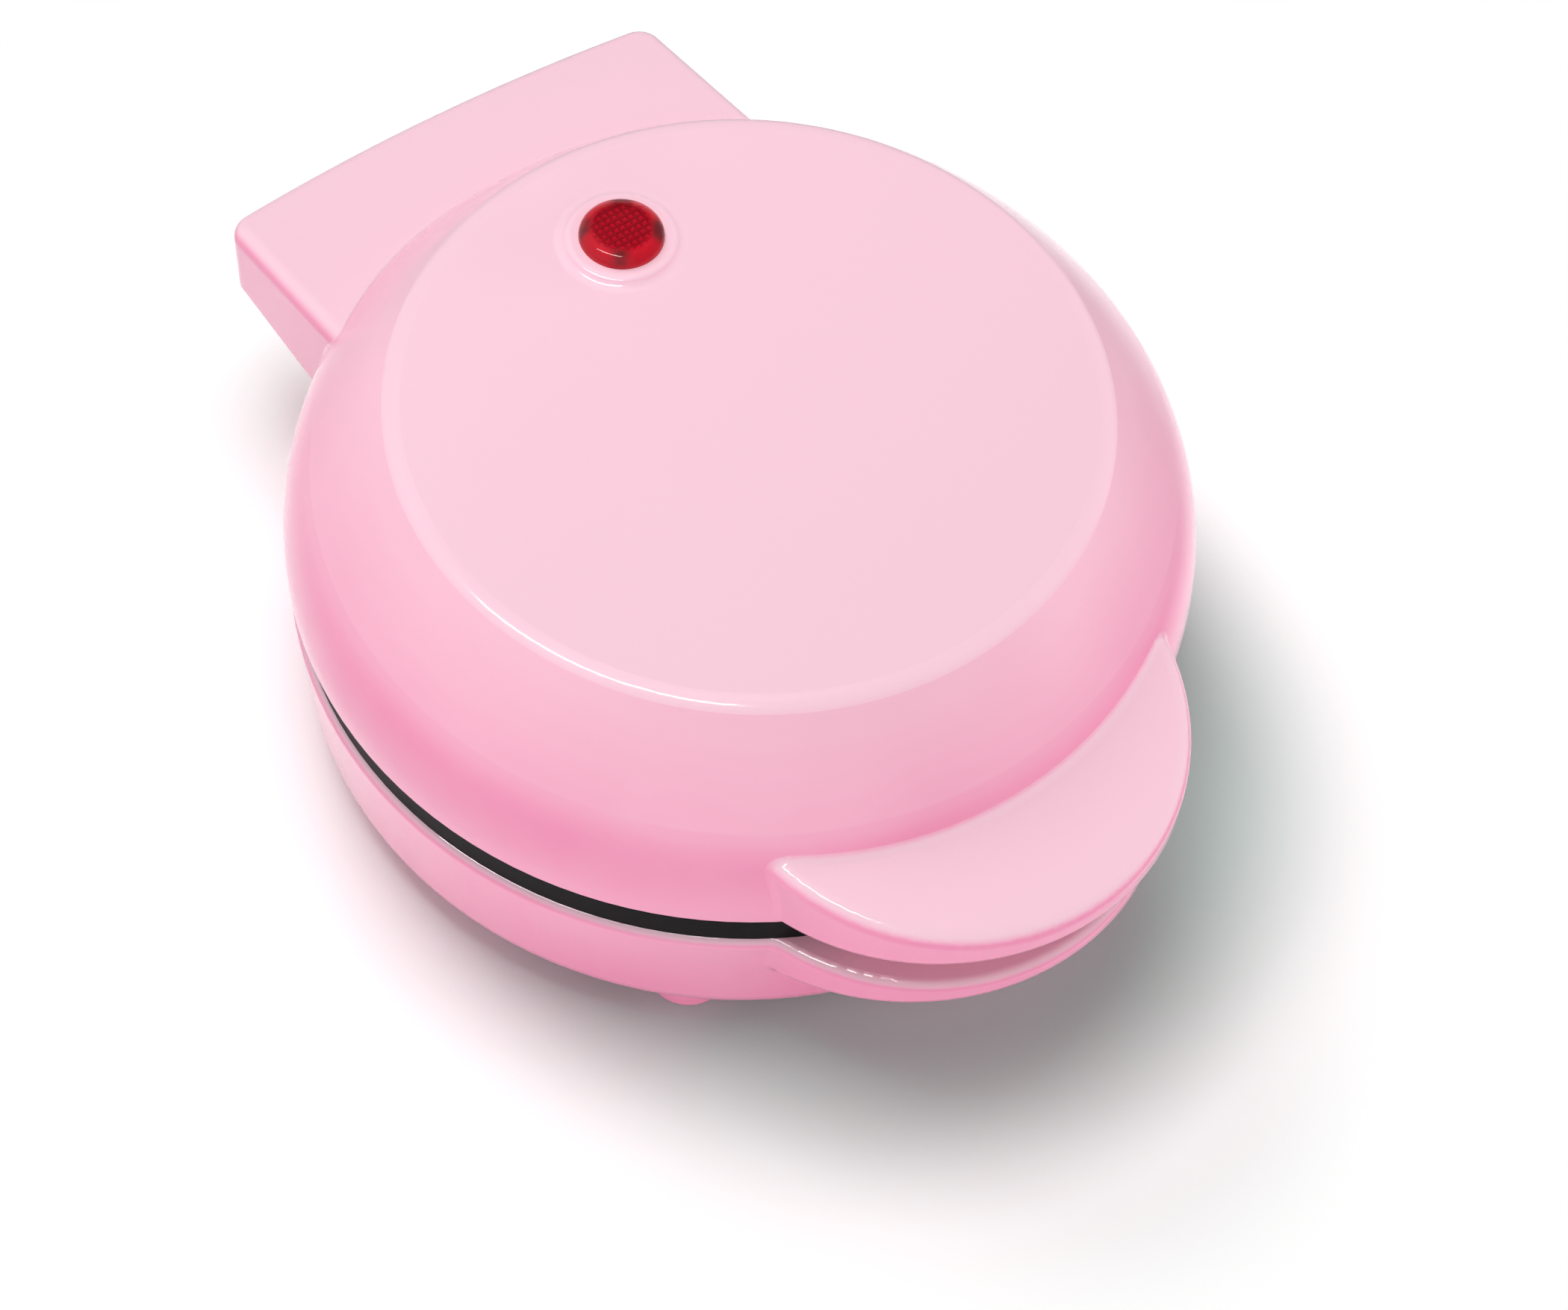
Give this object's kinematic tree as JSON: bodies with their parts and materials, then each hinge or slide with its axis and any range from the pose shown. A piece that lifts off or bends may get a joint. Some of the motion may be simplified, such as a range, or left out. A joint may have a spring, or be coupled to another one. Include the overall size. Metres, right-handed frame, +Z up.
{
  "type": "waffle maker",
  "caption": "Compact round waffle maker with a hinged domed lid, gridded cooking plates, front grip tabs and a red indicator lamp.",
  "frame": {"origin": "on the table plane, under the middle of the overall box", "axes": "+Z up, +Y towards the hinge, front grip tabs at -Y, +X to the right seen from the front"},
  "size_m": [0.1524, 0.192, 0.0794],
  "materials": {
    "pink_shell": "gloss moulded",
    "black_bezel": "satin moulded",
    "nonstick_plate": "non-stick coated casting",
    "heater_sheath": "heat-darkened",
    "pressed_steel": "plated sheet",
    "screw_steel": "zinc plated",
    "brass_screw": "turned",
    "white_nylon": "moulded",
    "fuse_sleeve": "glass braid",
    "lead_sleeve": "silicone",
    "gland_rubber": "moulded",
    "thermostat_body": "phenolic",
    "red_lens": "clear red moulded",
    "lamp_glass": "clear",
    "pin_steel": "ground"
  },
  "bodies": {
    "base": {"base_shell": "pink_shell", "lower_bezel": "black_bezel", "lower_plate": "nonstick_plate", "lower_element": "heater_sheath", "lower_element_clips": "pressed_steel", "lower_heat_shield": "pressed_steel", "lower_plate_screws": "screw_steel", "base_screws": "screw_steel", "terminal_block": "white_nylon", "terminal_screws": "brass_screw", "thermal_fuse": "fuse_sleeve", "base_wires": "lead_sleeve", "cord_gland": "gland_rubber"},
    "lid": {"lid_shell": "pink_shell", "upper_bezel": "black_bezel", "upper_plate": "nonstick_plate", "upper_element": "heater_sheath", "upper_element_clips": "pressed_steel", "upper_heat_shield": "pressed_steel", "upper_plate_screws": "screw_steel", "bezel_screws": "screw_steel", "thermostat": "thermostat_body", "thermostat_screws": "screw_steel", "indicator_lens": "red_lens", "lens_clip": "pressed_steel", "lamp_bush": "gland_rubber", "neon_lamp": "lamp_glass", "lid_splice": "white_nylon", "lid_wires": "lead_sleeve", "hinge_pins": "pin_steel", "pin_clips": "pin_steel"}
  },
  "joints": [
    {"name": "lid_hinge", "type": "hinge", "parent": "base", "child": "lid", "pos_m": [0, 0.086, 0.0397], "axis": [-1, 0, 0], "range_deg": [0, 100]}
  ]
}
